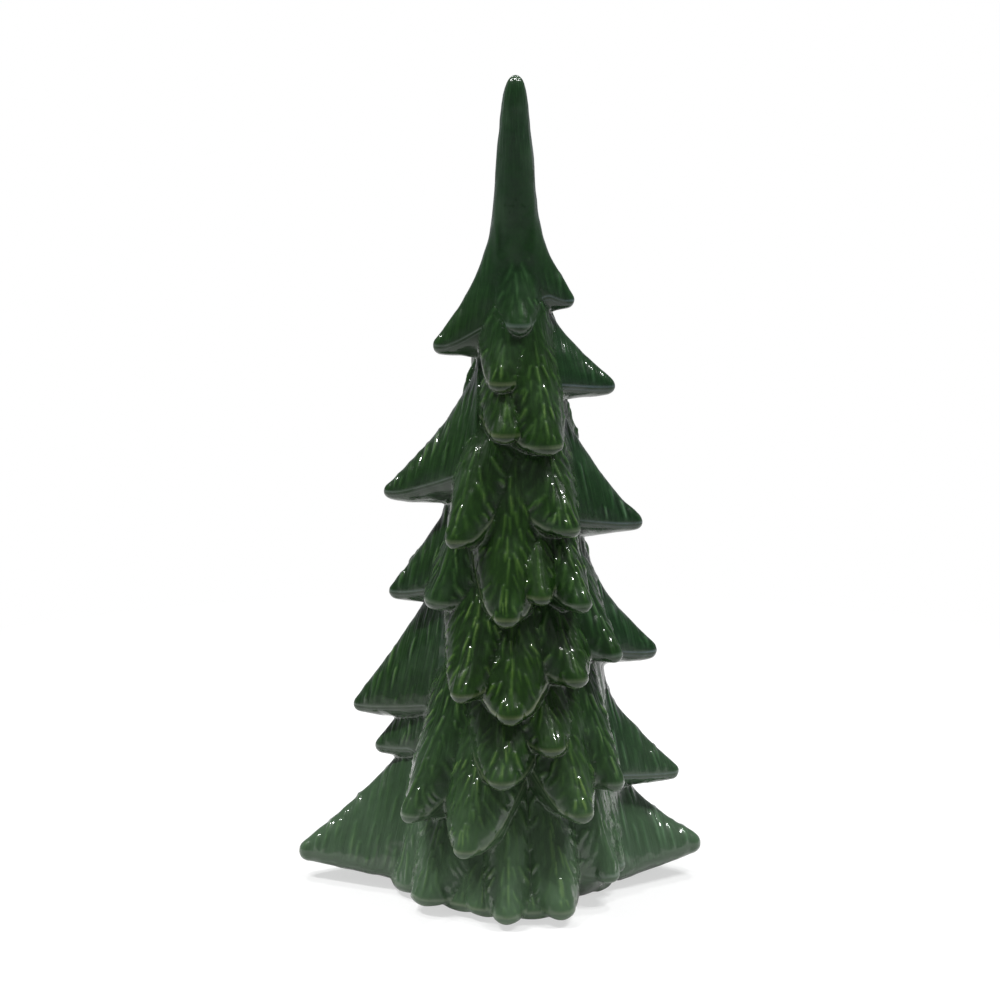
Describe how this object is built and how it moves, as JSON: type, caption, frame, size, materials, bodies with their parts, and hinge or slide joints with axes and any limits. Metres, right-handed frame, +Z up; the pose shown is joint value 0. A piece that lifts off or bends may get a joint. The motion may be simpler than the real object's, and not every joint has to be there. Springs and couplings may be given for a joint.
{
  "type": "tree figurine",
  "caption": "Glazed ceramic fir tree figurine with a tall pointed spire, tiers of drooping boughs all round and felt pads under its hollow foot.",
  "frame": {"origin": "on the table, in the middle of the figurine's outer box seen from above", "axes": "+Z up the trunk to the spire's tip, -Y to the front, +X to the figurine's right as seen from the front"},
  "size_m": [0.155, 0.1314, 0.305],
  "materials": {
    "green_glaze": "gloss",
    "grey_felt": "matte"
  },
  "bodies": {
    "root": {"tree_casting": "green_glaze", "pad_front_right": "grey_felt", "pad_rear_right": "grey_felt", "pad_rear_left": "grey_felt", "pad_front_left": "grey_felt"}
  },
  "joints": []
}
